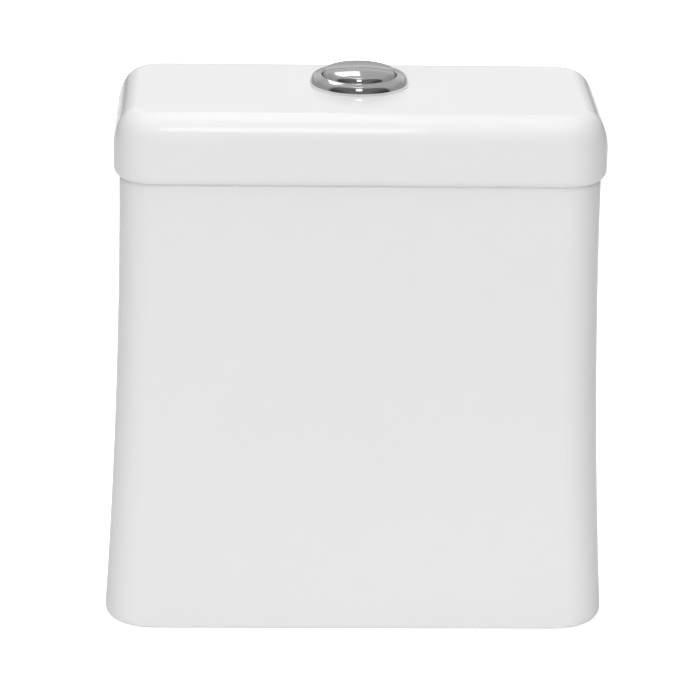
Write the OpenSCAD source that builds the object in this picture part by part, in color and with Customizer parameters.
// A close-coupled toilet cistern with a two-part push button in its lid.
// Millimetres; +Z is up, +Y points at the wall, and the foot stands on z = 0.

/* [Tank] */
// Width of the tank at its rim
tank_w = 352; // [330:1:390]
// Depth of the tank at its rim
tank_d = 162; // [155:1:190]
// Height of the tank from foot to rim
tank_h = 349; // [340:1:380]
// How far each side swings out at the foot
side_flare = 13; // [0:0.5:18]
// How far the front swings out at the foot
front_flare = 4; // [0:0.5:8]
// How low down the swing comes, 1 for a straight taper
flare_power = 1.85; // [1:0.05:3]
// Radius of the upright corners
corner_r = 28; // [24:1:36]
// Thickness of the china walls
wall_t = 9; // [7:0.5:11]
// Thickness of the floor
floor_t = 10; // [8:0.5:14]
// Height of the hollow under the floor
under_h = 36; // [34:1:44]
// Thickness of the foot at the front and sides
foot_t = 22; // [18:1:26]
// Thickness of the foot at the back
foot_back_t = 12; // [10:0.5:14]
// Rounding of the foot's lower edge
foot_round = 9; // [4:0.5:9]
// Rounding of both edges of the rim
rim_round = 2.5; // [1:0.5:3]
// Rounding where the walls meet the floor inside
floor_round = 14; // [8:1:18]

/* [Lid] */
// Height of the lid above the rim
lid_h = 51; // [44:1:58]
// How far the lid stands over the tank at the front and sides
lid_overhang = 4; // [2:0.5:6]
// Rounding of the lid's upper edge
lid_round = 18; // [12:1:22]
// Rounding of the lid's lower edge
lid_lip_r = 8; // [5:0.5:8]
// Thickness of the lid's top
lid_t = 10; // [8:0.5:12]
// Depth of the rib that keeps the lid in place
rib_h = 8; // [5:0.5:12]
// Thickness of that rib
rib_t = 5; // [4:0.5:7]
// Clearance between the rib and the tank's wall
rib_gap = 2; // [1:0.5:3]

/* [Push button] */
// Diameter of the bezel
bezel_d = 73; // [70:0.5:80]
// Height of the bezel above the lid
bezel_h = 8.5; // [6:0.5:11]
// Diameter of the button
button_d = 54.6; // [50:0.2:55]
// Height of the button's dome above the bezel
dome_h = 5; // [3:0.5:7]
// Distance from the back of the tank to the button's axis
button_back = 69; // [66:0.5:74]
// Place of the split, in front of the button's axis
split_y = 4; // [2:0.5:5]
// Width of the split
split_gap = 0.8; // [0.6:0.1:1.2]
// Travel of each button segment
press_travel = 10; // [7:0.5:11]
// Length of the bezel's shank below the lid's face
shank_h = 22; // [21:0.5:26]
// Distance of each stem from the button's axis
stem_y = 13; // [12:0.5:14]
// Radius of each stem
stem_r = 4; // [3.5:0.1:4.2]
// Radius of each push rod
rod_r = 2.5; // [2:0.1:2.7]
// Wire thickness of the return springs
wire_d = 0.9; // [0.7:0.1:1.1]
// Turns of the return springs
spring_turns = 6; // [5:1:7]

/* [Flush valve] */
// Radius of the outlet tail
tail_r = 29.8; // [28:0.1:30.5]
// Length of the outlet tail under the flange
tail_h = 43; // [38:0.5:46]
// Radius of the base flange
flange_r = 43; // [42:0.5:45]
// Height of the tower above the base seal
tower_h = 205; // [190:1:212]
// Radius of the tower
cage_r = 40; // [39:0.5:41]
// Radius of the overflow tube
tube_r = 15; // [13:0.5:15.5]
// Wall of the overflow tube
tube_t = 2.2; // [1.6:0.1:3]
// Outer radius of the flush seal
seal_r = 32.5; // [31:0.5:32.5]
// Outer radius of the coupling gasket
gasket_r = 51; // [49:0.5:52]
// Height of the ring float
ring_float_h = 30; // [24:1:34]
// Rise of the ring float
ring_float_rise = 12; // [6:1:14]

/* [Lift gear] */
// Distance of each lever pivot from the valve's axis
pivot_x = 27; // [27:0.5:28]
// Lever arm from pivot to plunger
press_arm = 20; // [18:0.5:21]
// Lever arm from pivot to lug
lift_arm = 24; // [22:0.5:24]
// Thickness of the levers
lever_t = 3.6; // [3:0.2:4]
// Radius of the lever pins
pin_r = 2; // [1.6:0.1:2.4]

/* [Filling valve] */
// Distance of the filling valve from the tank's left edge
fill_inset = 58; // [52:1:66]
// Place of the filling valve from front to back
fill_y = 6; // [0:1:10]
// Radius of the inlet tail
inlet_r = 10.4; // [10:0.1:10.6]
// Height of the riser's top above the floor
riser_h = 192; // [180:1:204]
// Outer radius of the riser
riser_r = 11; // [10.5:0.1:11.5]
// Outer radius of the float cup
cup_r = 31; // [30:0.5:34]
// Height of the float cup
cup_h = 42; // [36:1:46]
// Rise of the float cup
cup_rise = 14; // [10:0.5:15]

/* [Fastenings] */
// Distance between the two coupling bolts
bolt_spacing = 150; // [140:1:160]
// Radius of the coupling bolts
bolt_r = 4; // [3.5:0.1:4.2]
// Distance between the two wall screw holes
wall_hole_spacing = 210; // [180:1:230]
// Radius of the wall screw holes
wall_hole_r = 4.5; // [3.5:0.1:5]
// Height of the wall screw holes under the rim
wall_hole_drop = 36; // [30:1:44]

/* [Fit] */
// Clearance of sliding stems and tubes
slide_gap = 0.3; // [0.2:0.05:0.4]
// Clearance between pieces that meet and part again
meet_gap = 0.3; // [0.2:0.05:0.4]
// Clearance of the lever bores on their pins
pin_gap = 0.08; // [0.04:0.02:0.1]
// Clearance of nuts and rings on what they grip
grip_gap = 0.1; // [0.05:0.05:0.2]
// How much slimmer a bolt or tail is above its free end
relief = 0.4; // [0.35:0.05:0.5]
// Clearance between the button and its bezel
button_gap = 0.5; // [0.4:0.1:0.7]

/* [Hidden] */
$fn = 96;
corner_steps = 8;
flare_steps = 12;
least_corner = 5;

// Levels and places of the tank and lid
floor_top = under_h + floor_t;
lid_w = tank_w + 2 * lid_overhang;
lid_d = tank_d + lid_overhang;
lid_top = tank_h + lid_h;
tank_back = lid_d / 2;
button_y = tank_back - button_back;
rib_inset = wall_t + rib_gap;

// Push button, measured from the lid's top face
button_r = button_d / 2;
bezel_r = bezel_d / 2;
bore_r = button_r + button_gap;
shank_r = bore_r + 1.5;
lid_hole_r = shank_r + 0.8;
bezel_seat_r = min(bezel_r - 2, lid_hole_r + 4.5);
bezel_seat_t = 1;
web_t = 2.5;
web_top = web_t - shank_h;
button_top = bezel_h + dome_h;
skirt_z = min(-2, web_top + press_travel + 2.5);
seat_under = bezel_h - 0.5;
stem_end = -shank_h - 4;
socket_h = 14;
boss_t = 1.5;
spring_r = stem_r + 0.7 + wire_d / 2 + slide_gap;
spring_h = seat_under - web_top;

// Flush valve
base_seal_t = 3;
base_z = floor_top + base_seal_t;
flange_t = 5;
tail_end = base_z - tail_h;
tail_bore = tail_r - 4.8;
seat_r = tail_bore + 3.5;
seat_z = base_z + 9;
flush_seal_t = 3;
collar_r = cage_r - 4 - grip_gap;
collar_h = 6;
disc_t = 5;
tower_top = base_z + tower_h;
backnut_h = 14;
backnut_r = 37;
outlet_hole_r = tail_r + 1.7;
stop_t = 3;
ring_stop_z = tower_top - 88;
ring_float_z = ring_stop_z + stop_t + meet_gap;
ring_float_r = cage_r + 9.5;
float_wall = 1.8;
float_round = 5;

// Lift gear, measured from the valve's axis
swing = 2 * asin(press_travel / 2 / press_arm);
lift = 2 * lift_arm * sin(swing / 2);
press_x = pivot_x + press_arm;
tip_r = 2.5;
hub_r = 4.5;
head_t = 4;
pivot_z = tower_top + head_t + hub_r + 4.5;
lug_z = pivot_z - lift_arm * sin(swing / 2) + tip_r + meet_gap;
yoke_t = 3;
lug_t = 3;
lug_y = 23;
tine_y = 19;
tine_t = 3;
plate_y = lug_y + 1;
plate_t = 3;
hub_half = plate_y - 0.5;
tube_top = lug_z + yoke_t + lug_t + 14;
foot_z = pivot_z + press_arm * sin(swing / 2) + tip_r + meet_gap;
pad_z = tube_top + 2 * lift + press_travel + 2;
pad_t = 4;
guide_top = pad_z - press_travel - 1;
guide_h = 14;
guide_half = 7;
guide_wall = 2.2;
rib_half = 1.4;
bridge_t = 3;
head_round = 5;
pad_round = 3;
pad_half = 10;
pad_reach = 9;
pad_hole_r = 5;
rod_end = pad_z + pad_t + boss_t + meet_gap;

// Filling valve
fill_x = fill_inset - tank_w / 2;
fill_seal_t = 3;
fill_z = floor_top + fill_seal_t;
inlet_drop = 30;
inlet_end = max(4, under_h - inlet_drop);
inlet_hole_r = inlet_r + 1.6;
fill_nut_h = 10;
riser_top = floor_top + riser_h;
riser_t = 2.2;
riser_tube_h = riser_h * 2 / 3;
lower_riser_r = riser_r - riser_t - slide_gap;
head_r = 17;
head_sleeve = 8;
fill_head_h = 24;
cap_z = riser_top + fill_head_h;
cap_r = head_r + grip_gap + 2.4;
cap_h = 8;
cap_skirt = 12;
cap_top = cap_z + cap_h;
float_arm = 24;
float_pivot_x = -2;
float_rod_x = float_pivot_x - float_arm;
float_rod_r = 1.8;
float_swing = 2 * asin(cup_rise / 2 / float_arm);
float_pivot_rise = 10;
float_pivot_z = cap_top + float_pivot_rise;
float_lever_t = 4;
float_lever_w = 8;
float_nose = 20;
float_pin_r = 1.6;
ear_t = 3;
ear_in = float_lever_w / 2 + 1;
rod_play = 0.5;
float_slot = (float_arm + float_rod_r) / cos(float_swing / 2)
    + float_lever_t / 2 * tan(float_swing / 2) + rod_play;
float_end_z = float_pivot_z - float_arm * sin(float_swing / 2);
cup_room = 8;
cup_top = riser_top - head_sleeve - cup_rise - cup_room;
rod_socket = 10;
rod_tail = 26;
rod_collar_r = 4.5;
collar_play = float_lever_t / 2 / cos(float_swing / 2) + rod_collar_r * tan(float_swing / 2)
    + float_arm * (tan(float_swing / 2) - sin(float_swing / 2)) + meet_gap;

// Fastenings
bolt_x = bolt_spacing / 2;
bolt_seal_t = 4;
washer_t = 1.5;
bolt_drop = 32;
bolt_end = max(3, under_h - bolt_drop);
bolt_head_h = bolt_r * 1.25;
nut_t = 6.5;
nut_r = bolt_r * 1.9;
bolt_hole_r = bolt_r + 1.5;

// Points along an arc
function arc(x, y, r, from, to, steps) =
    [for (i = [0:steps]) let (a = from + (to - from) * i / steps) [x + r * cos(a), y + r * sin(a)]];

// Points along a curve that leaves a towards b and arrives at c
function bend(a, b, c, steps) =
    [for (i = [0:steps]) let (t = i / steps) (1 - t) * (1 - t) * a + 2 * t * (1 - t) * b + t * t * c];

function turned(points) = [for (i = [len(points) - 1:-1:0]) points[i]];

// A rounded rectangle at height z, anticlockwise from above
function ring(half, front, back, r, z) = [for (p = concat(
    arc(half - r, front + r, r, -90, 0, corner_steps),
    arc(half - r, back - r, r, 0, 90, corner_steps),
    arc(r - half, back - r, r, 90, 180, corner_steps),
    arc(r - half, front + r, r, 180, 270, corner_steps))) [p[0], p[1], z]];

// The tank's outline at height z, drawn in by inset
function flare(z) = pow(max(0, 1 - z / tank_h), flare_power);
function skin(z, inset, back) = ring(
    tank_w / 2 + side_flare * flare(z) - inset,
    tank_back - tank_d - front_flare * flare(z) + inset,
    tank_back - (is_undef(back) ? inset : back),
    max(least_corner, corner_r - inset), z);

// The lid's outline at height z, drawn in by inset
function lid_skin(z, inset) = ring(lid_w / 2 - inset, tank_back - lid_d + inset, tank_back - inset,
    max(least_corner, corner_r + lid_overhang - inset), z);

// The rim's outline at height z, for what reaches into the tank
function rim_skin(z, inset) = ring(tank_w / 2 - inset, tank_back - tank_d + inset, tank_back - inset,
    max(least_corner, corner_r - inset), z);

// A solid through rings of equal length, lowest first
module loft(rings) {
    n = len(rings[0]);
    last = len(rings) - 1;
    polyhedron(
        points = [for (r = rings) each r],
        faces = concat(
            [[for (i = [0:n - 1]) i]],
            [for (k = [0:last - 1], i = [0:n - 1]) let (a = k * n + i, b = k * n + (i + 1) % n)
                each [[a, a + n, b + n], [a, b + n, b]]],
            [[for (i = [n - 1:-1:0]) last * n + i]]));
}

module tube(outer, inner, h) {
    difference() {
        cylinder(r = outer, h = h);
        translate([0, 0, -1]) cylinder(r = inner, h = h + 2);
    }
}

module at_button() {
    translate([0, button_y, lid_top]) children();
}

module at_valve(z) {
    translate([0, button_y, z]) children();
}

module at_fill(z) {
    translate([fill_x, fill_y, z]) children();
}

module at_bolts(z) {
    for (s = [-1, 1]) translate([s * bolt_x, button_y, z]) children();
}

// Tank and lid
module tank() {
    color("white") difference() {
        loft(concat(
            [for (a = [0:15:90]) skin(foot_round * (1 - cos(a)), foot_round * (1 - sin(a)))],
            [for (i = [1:flare_steps - 1])
                skin(foot_round + (tank_h - rim_round - foot_round) * i / flare_steps, 0)],
            [for (a = [0:30:90]) skin(tank_h - rim_round * (1 - sin(a)), rim_round * (1 - cos(a)))]));
        loft(concat(
            [for (a = [0:30:90])
                skin(floor_top + floor_round * (1 - cos(a)), wall_t + floor_round * (1 - sin(a)))],
            [for (i = [1:flare_steps - 1]) skin(floor_top + floor_round
                + (tank_h - rim_round - floor_top - floor_round) * i / flare_steps, wall_t)],
            [for (a = [0:30:90])
                skin(tank_h - rim_round * (1 - sin(a)), wall_t - rim_round * (1 - cos(a)))],
            [skin(tank_h + 1, wall_t - rim_round)]));
        loft([skin(-1, foot_t, foot_back_t), skin(under_h - 5, foot_t, foot_back_t),
            skin(under_h - 1.5, foot_t + 1.5, foot_back_t + 1.5), skin(under_h, foot_t + 5, foot_back_t + 5)]);
        at_valve(under_h - 1) cylinder(r = outlet_hole_r, h = floor_t + 2);
        at_fill(under_h - 1) cylinder(r = inlet_hole_r, h = floor_t + 2);
        at_bolts(under_h - 1) cylinder(r = bolt_hole_r, h = floor_t + 2);
        for (s = [-1, 1]) translate([s * wall_hole_spacing / 2, tank_back + 1, tank_h - wall_hole_drop])
            rotate([90, 0, 0]) cylinder(r = wall_hole_r, h = wall_t + 2);
    }
}

module lid() {
    hollow = rib_inset + rib_t;
    ceiling = lid_top - lid_t;
    color("white") difference() {
        union() {
            loft(concat(
                [for (a = [60:-15:0])
                    lid_skin(tank_h + lid_lip_r * (sin(60) - sin(a)), lid_lip_r * (1 - cos(a)))],
                [for (a = [0:15:90]) lid_skin(lid_top - lid_round * (1 - sin(a)), lid_round * (1 - cos(a)))]));
            loft([rim_skin(tank_h - rib_h, rib_inset + 1), rim_skin(tank_h - rib_h + 1, rib_inset),
                rim_skin(tank_h + 2, rib_inset)]);
        }
        loft([rim_skin(tank_h - rib_h - 1, hollow), rim_skin(ceiling - 10, hollow),
            rim_skin(ceiling - 5, hollow + 1.3), rim_skin(ceiling - 1.3, hollow + 5),
            rim_skin(ceiling, hollow + 10)]);
        translate([0, button_y, ceiling - 1]) cylinder(r = lid_hole_r, h = lid_t + 2);
    }
}

// Push button
module button_bezel() {
    crest = bore_r + 0.7;
    color("silver") at_button() difference() {
        union() {
            rotate_extrude() polygon(concat(
                [[bore_r, -shank_h], [shank_r, -shank_h], [shank_r, bezel_seat_t],
                    [bezel_seat_r, bezel_seat_t], [bezel_seat_r, 0], [bezel_r - 0.5, 0], [bezel_r, 0.5]],
                bend([bezel_r, 2.2], [bezel_r - 0.4, 4.6], [crest + 2, bezel_h - 0.7], 8),
                bend([crest + 1, bezel_h - 0.2], [crest, bezel_h + 0.1], [bore_r, bezel_h - 0.6], 4)));
            translate([0, 0, -shank_h]) cylinder(r = bore_r + 0.5, h = web_t);
        }
        for (s = [-1, 1]) translate([0, s * stem_y, -shank_h - 1])
            cylinder(r = stem_r + slide_gap, h = web_t + 2);
        for (s = [-1, 1]) translate([s * stem_y, 0, -shank_h - 1]) cylinder(r = 5, h = web_t + 2);
    }
}

module bezel_gasket() {
    color("dimgray") at_button()
        tube(bezel_seat_r - grip_gap, shank_r + grip_gap, bezel_seat_t);
}

module button_nut() {
    nut_h = 8;
    color("whitesmoke") at_button() translate([0, 0, -lid_t - nut_h]) difference() {
        union() {
            translate([0, 0, nut_h - 3]) cylinder(r = shank_r + 8, h = 3);
            cylinder(r = shank_r + 4, h = nut_h);
            for (a = [0:45:315]) rotate([0, 0, a]) translate([shank_r + 1, -2, 0]) cube([6, 4, nut_h]);
        }
        translate([0, 0, -1]) cylinder(r = shank_r + grip_gap, h = nut_h + 2);
    }
}

// The dome's section, drawn in by inset
function dome(inset) = concat([[0, skirt_z], [button_r - inset, skirt_z]],
    bend([button_r - inset, bezel_h + 0.4 - inset / 2],
        [button_r - 0.7 - inset, button_top - 1.2 - inset], [0, button_top - inset], 12));

// One segment: side is 1 behind the split and -1 in front of it
module segment(side) {
    edge = -split_y + side * split_gap / 2;
    shell = 2;
    big = 3 * button_r;
    difference() {
        intersection() {
            union() {
                difference() {
                    rotate_extrude() polygon(dome(0));
                    translate([0, 0, -0.01]) rotate_extrude() polygon(dome(shell));
                }
                intersection() {
                    rotate_extrude() polygon(dome(0));
                    union() {
                        translate([-big, side > 0 ? edge : edge - shell, skirt_z]) cube([2 * big, shell, big]);
                        translate([0, side * stem_y, seat_under])
                            cylinder(r = spring_r + wire_d / 2 + 0.2, h = big);
                    }
                }
                translate([0, side * stem_y, stem_end])
                    cylinder(r = stem_r, h = button_top - 2 - stem_end);
            }
            translate([-big, side > 0 ? edge : edge - 2 * big, -2 * big]) cube([2 * big, 2 * big, 4 * big]);
        }
        translate([0, side * stem_y, stem_end - 1]) cylinder(r = rod_r + grip_gap, h = socket_h + 1);
    }
}

module full_flush_button() {
    color("silver") at_button() segment(1);
}

module half_flush_button() {
    color("silver") at_button() segment(-1);
}

// A return spring between the bezel's web and a segment's seat
spring_steps = 14;
function spring_point(i) = let (n = spring_turns * spring_steps, a = 360 * i / spring_steps)
    [spring_r * cos(a), spring_r * sin(a), wire_d / 2 + (spring_h - wire_d) * i / n];
spring_line = [for (i = [0:spring_turns * spring_steps]) spring_point(i)];
spring_room = min([for (i = [0:len(spring_line) - 1], j = [i:len(spring_line) - 1])
    if (j - i > spring_steps / 2) norm(spring_line[i] - spring_line[j])]) - wire_d;
echo("least gap between the turns of a spring, mm", spring_room);

module spring(side) {
    sides = 6;
    color("lightgray") at_button() translate([0, side * stem_y, web_top])
        loft([for (i = [0:len(spring_line) - 1]) let (a = 360 * i / spring_steps)
            [for (k = [0:sides - 1]) let (q = -360 * k / sides)
                spring_line[i] + wire_d / 2 * [cos(q) * cos(a), cos(q) * sin(a), sin(q)]]]);
}

module full_button_spring() {
    spring(1);
}

module half_button_spring() {
    spring(-1);
}

module push_rod(side) {
    top = lid_top + stem_end + socket_h - 0.5;
    color("white") translate([0, button_y + side * stem_y, rod_end]) {
        cylinder(r = rod_r, h = top - rod_end);
        cylinder(r = rod_r + 2, h = 4);
    }
}

module full_push_rod() {
    push_rod(1);
}

module half_push_rod() {
    push_rod(-1);
}

// Flush valve
module valve_base() {
    color("whitesmoke") {
        at_valve(0) difference() {
            union() {
                translate([0, 0, base_z]) cylinder(r = flange_r, h = flange_t);
                translate([0, 0, tail_end]) cylinder(r = tail_r - relief, h = tail_h + 1);
                translate([0, 0, tail_end]) cylinder(r = tail_r, h = under_h - backnut_h - tail_end);
                translate([0, 0, base_z]) cylinder(r = seat_r - 1, h = seat_z - base_z);
                translate([0, 0, base_z]) cylinder(r = seat_r, h = seat_z - base_z - 1);
                translate([0, 0, base_z + 1]) tube(collar_r, collar_r - 1.6, flange_t + collar_h - 1);
            }
            translate([0, 0, tail_end - 1]) cylinder(r = tail_bore, h = tail_h + 40);
        }
        at_valve(tail_end + 12) for (a = [45, 135]) rotate([0, 0, a])
            translate([-tail_bore - 0.5, -1.2, 0]) cube([2 * tail_bore + 1, 2.4, 9]);
    }
}

module base_seal() {
    color("dimgray") at_valve(floor_top) tube(flange_r - 1, tail_r + grip_gap, base_seal_t);
}

module outlet_backnut() {
    color("whitesmoke") at_valve(under_h - backnut_h) difference() {
        union() {
            translate([0, 0, backnut_h - 4]) cylinder(r = backnut_r + 3, h = 4);
            cylinder(r = backnut_r - 2.5, h = backnut_h);
            for (a = [0:45:315]) rotate([0, 0, a])
                translate([tail_r + 1, -4, 0]) cube([backnut_r - tail_r - 1, 8, backnut_h]);
        }
        translate([0, 0, -1]) cylinder(r = tail_r + grip_gap, h = backnut_h + 2);
    }
}

module coupling_gasket() {
    inner = backnut_r + 3 + grip_gap;
    drop = under_h - 8;
    color("dimgray") at_valve(under_h - drop) rotate_extrude() polygon(concat(
        [[inner, drop], [inner, 3]], bend([inner, 3], [inner, 0], [inner + 3, 0], 4),
        bend([gasket_r - 8, 0], [gasket_r - 1, 1], [gasket_r, 14], 8), [[gasket_r, drop]]));
}

module valve_cage() {
    foot = base_z + flange_t;
    shell_z = base_z + 74;
    color("gainsboro") at_valve(0) difference() {
        union() {
            translate([0, 0, foot]) tube(cage_r, cage_r - 4, 10);
            intersection() {
                translate([0, 0, foot + 9]) tube(cage_r, cage_r - 3.6, shell_z - foot - 8);
                for (a = [45, 135]) rotate([0, 0, a])
                    translate([-cage_r, -7, foot]) cube([2 * cage_r, 14, shell_z]);
            }
            translate([0, 0, shell_z]) tube(cage_r, cage_r - 2.4, tower_top - shell_z);
            translate([0, 0, tower_top - 4]) cylinder(r = cage_r, h = 4);
            translate([0, 0, tower_top - 18]) cylinder(r = tube_r + 3, h = 18);
            translate([0, 0, ring_stop_z]) tube(cage_r + 2.5, cage_r - 1, stop_t);
            translate([0, 0, ring_float_z + ring_float_h + ring_float_rise + meet_gap])
                tube(cage_r + 2.5, cage_r - 1, stop_t);
        }
        translate([0, 0, tower_top - 20]) cylinder(r = tube_r + slide_gap, h = 30);
        for (a = [0:90:270]) rotate([0, 0, a]) {
            translate([cage_r - 8, -12, shell_z + 7]) cube([16, 24, ring_stop_z - shell_z - 12]);
            translate([cage_r - 8, -10, tower_top - 34]) cube([16, 20, 24]);
        }
        for (a = [45:90:315]) rotate([0, 0, a]) translate([tube_r + 13, 0, tower_top - 6])
            cylinder(r = 5, h = 8);
    }
}

module valve_head() {
    half = press_x + guide_half;
    top = guide_top - tower_top;
    web = head_t + 20;
    color("lightgray") at_valve(tower_top) difference() {
        union() {
            cylinder(r = cage_r, h = head_t);
            for (s = [-1, 1]) translate([0, s * (plate_y + plate_t / 2) + plate_t / 2, 0])
                rotate([90, 0, 0]) linear_extrude(plate_t)
                    offset(r = -head_round, $fn = 24) offset(delta = head_round)
                    offset(r = head_round, $fn = 24) offset(delta = -head_round) polygon([
                        [-half, 0], [half, 0], [half, top], [half - 2 * guide_half, top],
                        [half - 2 * guide_half, 1.5 * web], [half - 2 * guide_half - 10, web],
                        [2 * guide_half + 10 - half, web], [2 * guide_half - half, 1.5 * web],
                        [2 * guide_half - half, top], [-half, top]]);
            for (s = [-1, 1]) translate([s * press_x, 0, top]) {
                translate([0, 0, -guide_h]) cylinder(r = stem_r + slide_gap + guide_wall, h = guide_h);
                translate([-guide_half, -plate_y - 1, -head_round - bridge_t])
                    cube([2 * guide_half, 2 * plate_y + 2, bridge_t]);
                translate([-rib_half, -plate_y - 1, -guide_h + 1])
                    cube([2 * rib_half, 2 * plate_y + 2, guide_h - 2]);
            }
        }
        translate([0, 0, -1]) cylinder(r = tube_r + 1.2, h = head_t + 2);
        for (a = [45:90:315]) rotate([0, 0, a]) translate([tube_r + 13, 0, -1])
            cylinder(r = 5, h = head_t + 2);
        for (s = [-1, 1]) {
            translate([s * press_x, 0, 0]) cylinder(r = stem_r + slide_gap, h = pad_z);
            translate([s * pivot_x, 0, pivot_z - tower_top]) rotate([90, 0, 0])
                cylinder(r = pin_r, h = 4 * plate_y, center = true);
        }
    }
}

module lever_pins() {
    color("silver") at_valve(pivot_z) for (s = [-1, 1]) translate([s * pivot_x, 0, 0]) rotate([90, 0, 0])
        cylinder(r = pin_r, h = 2 * (plate_y + plate_t), center = true);
}

// A lift lever at rest, plunger end towards +X
module lever() {
    translate([pivot_x, 0, pivot_z]) rotate([0, -swing / 2, 0]) difference() {
        union() {
            rotate([90, 0, 0]) cylinder(r = hub_r, h = 2 * hub_half, center = true);
            translate([0, -5, -lever_t / 2]) cube([press_arm, 10, lever_t]);
            translate([press_arm, 0, 0]) rotate([90, 0, 0]) cylinder(r = tip_r, h = 10, center = true);
            for (s = [-1, 1]) {
                translate([-lift_arm, s * tine_y - tine_t / 2, -lever_t / 2])
                    cube([lift_arm, tine_t, lever_t]);
                translate([-lift_arm, s * tine_y, 0]) rotate([90, 0, 0])
                    cylinder(r = tip_r, h = tine_t, center = true);
            }
        }
        rotate([90, 0, 0]) cylinder(r = pin_r + pin_gap, h = 3 * hub_half, center = true);
    }
}

module full_flush_lever() {
    color("steelblue") at_valve(0) lever();
}

module half_flush_lever() {
    color("mediumseagreen") at_valve(0) rotate([0, 0, 180]) lever();
}

// A plunger at rest, its guide stem towards +X and its pad behind the axis
module pad() {
    translate([0, 0, pad_z]) linear_extrude(pad_t) difference() {
        offset(r = pad_round, $fn = 24) offset(delta = -pad_round) polygon([
            [-pad_half, stem_y - pad_reach], [press_x - pad_reach, stem_y - pad_reach],
            [press_x - pad_reach, -2 * stem_r], [press_x + guide_half, -2 * stem_r],
            [press_x + guide_half, stem_y + pad_reach], [-pad_half, stem_y + pad_reach]]);
        translate([press_x / 2 + stem_r, stem_y]) circle(r = pad_hole_r);
    }
    translate([0, stem_y, pad_z + pad_t - 1]) cylinder(r = 2 * stem_r, h = boss_t + 1);
    translate([press_x, 0, foot_z]) cylinder(r = stem_r, h = pad_z - foot_z + 1);
}

module full_flush_pad() {
    color("steelblue") at_valve(0) pad();
}

module half_flush_pad() {
    color("mediumseagreen") at_valve(0) rotate([0, 0, 180]) pad();
}

// A half ring with two lugs on the +X side
module shoe(inner, z, h) {
    translate([0, 0, z]) intersection() {
        difference() {
            union() {
                cylinder(r = tube_r + 3.5, h = h);
                translate([-6, -lug_y, 0]) cube([12, 2 * lug_y, h]);
            }
            translate([0, 0, -1]) cylinder(r = inner, h = h + 2);
        }
        translate([0.5, -2 * lug_y, -1]) cube([2 * lug_y, 4 * lug_y, h + 2]);
    }
}

module full_flush_yoke() {
    color("steelblue") at_valve(0) shoe(tube_r + slide_gap, lug_z, yoke_t);
}

module overflow_tube() {
    bore = tube_r - tube_t;
    spigot_r = tube_r + 1.6;
    disc_z = seat_z + flush_seal_t;
    color("aliceblue") at_valve(0) difference() {
        union() {
            translate([0, 0, seat_z - 3]) cylinder(r = tube_r, h = tube_top - seat_z + 3);
            translate([0, 0, seat_z - 3]) cylinder(r = spigot_r + 2, h = 3);
            translate([0, 0, seat_z - 1]) cylinder(r = spigot_r, h = flush_seal_t + 2);
            translate([0, 0, disc_z]) cylinder(r = seal_r - 0.5, h = disc_t);
            for (a = [0:60:300]) rotate([0, 0, a]) translate([tube_r - 1, -1, disc_z + disc_t - 1])
                cube([12, 2, 9]);
            translate([0, 0, lug_z + yoke_t]) cylinder(r = tube_r + 3.5, h = lug_t);
            translate([-6, -lug_y, lug_z + yoke_t]) cube([12, 2 * lug_y, lug_t]);
            rotate([0, 0, 180]) shoe(tube_r - 0.5, lug_z, yoke_t + 0.5);
        }
        translate([0, 0, seat_z - 4]) cylinder(r = bore, h = tube_top);
    }
}

module flush_seal() {
    color("firebrick") at_valve(seat_z) tube(seal_r, tube_r + 1.6 + grip_gap, flush_seal_t);
}

// The section of a ring whose outer edge is rounded at the top
function float_ring(outer, inner, h, r) =
    concat([[inner, 0], [outer, 0]], arc(outer - r, h - r, r, 0, 90, 6), [[inner, h]]);

// A float: a ring that is hollow and open below, with a bead round its lower edge
module float_shell(outer, inner, h) {
    difference() {
        union() {
            rotate_extrude() polygon(float_ring(outer, inner, h, float_round));
            cylinder(r = outer + 1, h = 3);
        }
        translate([0, 0, -float_wall]) rotate_extrude() polygon(float_ring(
            outer - float_wall, inner + float_wall, h, float_round - float_wall));
        translate([0, 0, -1]) cylinder(r = inner, h = h + 2);
    }
}

module half_flush_float() {
    color("mediumseagreen") at_valve(ring_float_z) float_shell(ring_float_r, cage_r + slide_gap, ring_float_h);
}

// Filling valve
module fill_shank() {
    color("whitesmoke") at_fill(0) difference() {
        union() {
            translate([0, 0, inlet_end]) cylinder(r = inlet_r - relief, h = fill_z - inlet_end + 1);
            translate([0, 0, inlet_end]) cylinder(r = inlet_r, h = under_h - fill_nut_h - inlet_end);
            translate([0, 0, fill_z]) cylinder(r = inlet_r + 7, h = 4);
            translate([0, 0, fill_z + 3]) cylinder(r = inlet_r + 3.5, h = 10, $fn = 6);
            translate([0, 0, fill_z + 12]) cylinder(r = lower_riser_r, h = riser_h * 0.6);
        }
        translate([0, 0, inlet_end - 1]) cylinder(r = 6.2, h = 25);
        translate([0, 0, inlet_end]) cylinder(r = 4.6, h = riser_h);
    }
}

module fill_washer() {
    color("dimgray") at_fill(floor_top) tube(inlet_r + 6.5, inlet_r + grip_gap, fill_seal_t);
}

module fill_backnut() {
    color("whitesmoke") at_fill(under_h - fill_nut_h) difference() {
        union() {
            translate([0, 0, fill_nut_h - 3]) cylinder(r = inlet_r + 7, h = 3);
            cylinder(r = inlet_r + 5, h = fill_nut_h, $fn = 6);
        }
        translate([0, 0, -1]) cylinder(r = inlet_r + grip_gap, h = fill_nut_h + 2);
    }
}

module inlet_filter() {
    color("lightblue") at_fill(inlet_end + 3) difference() {
        cylinder(r = 6.1, h = 20.9);
        translate([0, 0, -1]) cylinder(r = 4.9, h = 20.5);
        for (a = [0:45:135], z = [4, 10]) rotate([0, 0, a]) translate([-8, -0.8, z]) cube([16, 1.6, 4]);
    }
}

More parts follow.
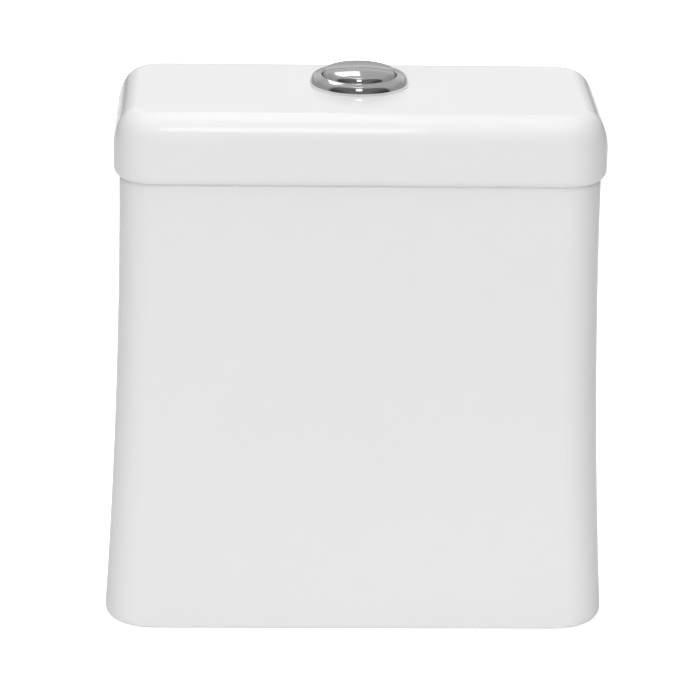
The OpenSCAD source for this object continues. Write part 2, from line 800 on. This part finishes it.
module fill_riser() {
    color("gainsboro") at_fill(riser_top - riser_tube_h) difference() {
        union() {
            cylinder(r = riser_r, h = riser_tube_h);
            cylinder(r = riser_r + 1.4, h = 3);
        }
        translate([0, 0, -1]) cylinder(r = lower_riser_r + slide_gap, h = riser_tube_h + 2);
    }
}

module riser_lock_ring() {
    color("steelblue") at_fill(riser_top - riser_tube_h + 3) difference() {
        union() {
            cylinder(r = riser_r + 2.8, h = 10);
            for (a = [0:30:330]) rotate([0, 0, a]) translate([riser_r + 1, -1.2, 0]) cube([3, 2.4, 10]);
        }
        translate([0, 0, -1]) cylinder(r = riser_r + grip_gap, h = 12);
    }
}

module fill_head() {
    color("gainsboro") at_fill(riser_top - head_sleeve) difference() {
        union() {
            cylinder(r = riser_r + 2.6, h = head_sleeve + 1);
            translate([0, 0, head_sleeve]) cylinder(r = head_r, h = fill_head_h);
        }
        translate([0, 0, -1]) cylinder(r = riser_r + grip_gap, h = head_sleeve + 1);
        translate([0, 0, 1]) cylinder(r = 4.6, h = fill_head_h);
        translate([0, 0, head_sleeve + fill_head_h - 12]) cylinder(r = 10, h = 20);
        translate([0, 0, head_sleeve + fill_head_h - 3]) cylinder(r = 13, h = 20);
        for (a = [30:60:330]) rotate([0, 0, a]) translate([8, -2, head_sleeve + 5]) cube([20, 4, 5]);
    }
}

module diaphragm() {
    color("dimgray") at_fill(cap_z - 3) {
        cylinder(r = 13 - grip_gap, h = 2.6);
        translate([0, 0, -2]) cylinder(r = 5, h = 3);
    }
}

module fill_cap() {
    color("steelblue") at_fill(cap_z) difference() {
        union() {
            translate([0, 0, -cap_skirt]) cylinder(r = cap_r, h = cap_h + cap_skirt);
            for (a = [10:20:350]) rotate([0, 0, a]) translate([cap_r - 1, -0.9, 1 - cap_skirt])
                cube([1.8, 1.8, cap_skirt + cap_h / 2]);
            for (s = [-1, 1]) translate([float_pivot_x - 5, s * (ear_in + ear_t / 2) - ear_t / 2, 2])
                cube([10, ear_t, float_pivot_z - cap_z + 2.5]);
            translate([float_pivot_x + 13, 0, 2]) cylinder(r = 3, h = cap_h + 1);
        }
        translate([0, 0, -cap_skirt - 1]) cylinder(r = head_r + grip_gap, h = cap_skirt + 1);
        translate([float_pivot_x, 0, float_pivot_z - cap_z]) rotate([90, 0, 0])
            cylinder(r = float_pin_r, h = 30, center = true);
    }
}

module float_cup() {
    color("gainsboro") at_fill(cup_top - cup_h) difference() {
        union() {
            float_shell(cup_r, riser_r + 2 * slide_gap, cup_h);
            translate([float_rod_x, 0, cup_h - rod_socket]) cylinder(r = 4, h = rod_socket + 5);
        }
        translate([float_rod_x, 0, cup_h - rod_socket - 1])
            cylinder(r = float_rod_r + grip_gap, h = 2 * rod_socket);
    }
}

module float_rod() {
    low = cup_top - rod_socket + 2;
    color("white") at_fill(0) translate([float_rod_x, 0, 0]) {
        translate([0, 0, low]) cylinder(r = float_rod_r, h = float_end_z + rod_tail - low);
        translate([0, 0, float_end_z - collar_play - 3]) cylinder(r = rod_collar_r - 0.5, h = 3);
        translate([0, 0, float_end_z + collar_play]) cylinder(r = rod_collar_r, h = 7, $fn = 8);
        translate([0, 0, cup_top + 5]) cylinder(r = 3.4, h = 3);
    }
}

module float_lever() {
    color("white") at_fill(0) translate([float_pivot_x, 0, float_pivot_z]) rotate([0, -float_swing / 2, 0])
        difference() {
            union() {
                rotate([90, 0, 0])
                    cylinder(r = 2 * float_pin_r + 0.4, h = 2 * (ear_in - slide_gap), center = true);
                translate([-float_slot - 3, -float_lever_w / 2, -float_lever_t / 2])
                    cube([float_slot + 3 + float_nose, float_lever_w, float_lever_t]);
                translate([float_nose - 7, 0, 0]) cylinder(r = 3, h = float_lever_t / 2 + 5);
            }
            rotate([90, 0, 0]) cylinder(r = float_pin_r + pin_gap, h = 3 * ear_in, center = true);
            translate([-float_slot, -float_rod_r - rod_play, -float_lever_t])
                cube([float_slot - float_arm + float_rod_r + rod_play, 2 * (float_rod_r + rod_play),
                    2 * float_lever_t]);
        }
}

module float_lever_pin() {
    color("silver") at_fill(float_pivot_z) translate([float_pivot_x, 0, 0]) rotate([90, 0, 0])
        cylinder(r = float_pin_r, h = 2 * (ear_in + ear_t), center = true);
}

// Fastenings
module coupling_bolts() {
    head_z = floor_top + bolt_seal_t + washer_t;
    color("silver") at_bolts(0) difference() {
        union() {
            translate([0, 0, bolt_end]) cylinder(r = bolt_r - relief, h = head_z - bolt_end + 1);
            translate([0, 0, bolt_end]) cylinder(r = bolt_r, h = under_h - washer_t - nut_t - bolt_end);
            translate([0, 0, head_z]) cylinder(r = bolt_r * 2.2, h = bolt_head_h);
        }
        translate([-5 * bolt_r, -bolt_r * 0.225, head_z + bolt_head_h - bolt_r / 2])
            cube([10 * bolt_r, bolt_r * 0.45, bolt_r]);
    }
}

module bolt_seals() {
    color("dimgray") at_bolts(floor_top) tube(bolt_r * 3, bolt_r + grip_gap, bolt_seal_t);
}

module bolt_washers() {
    color("silver") {
        at_bolts(floor_top + bolt_seal_t) tube(bolt_r * 2.75, bolt_r + grip_gap, washer_t);
        at_bolts(under_h - washer_t) tube(bolt_r * 2.75, bolt_r + grip_gap, washer_t);
    }
}

module bolt_nuts() {
    color("silver") at_bolts(under_h - washer_t - nut_t) difference() {
        cylinder(r = nut_r, h = nut_t, $fn = 6);
        translate([0, 0, -1]) cylinder(r = bolt_r + grip_gap, h = nut_t + 2);
    }
}

tank();
lid();
button_bezel();
bezel_gasket();
button_nut();
full_flush_button();
half_flush_button();
full_button_spring();
half_button_spring();
full_push_rod();
half_push_rod();
valve_base();
base_seal();
outlet_backnut();
coupling_gasket();
valve_cage();
valve_head();
lever_pins();
full_flush_lever();
half_flush_lever();
full_flush_pad();
half_flush_pad();
full_flush_yoke();
overflow_tube();
flush_seal();
half_flush_float();
fill_shank();
fill_washer();
fill_backnut();
inlet_filter();
fill_riser();
riser_lock_ring();
fill_head();
diaphragm();
fill_cap();
float_cup();
float_rod();
float_lever();
float_lever_pin();
coupling_bolts();
bolt_seals();
bolt_washers();
bolt_nuts();
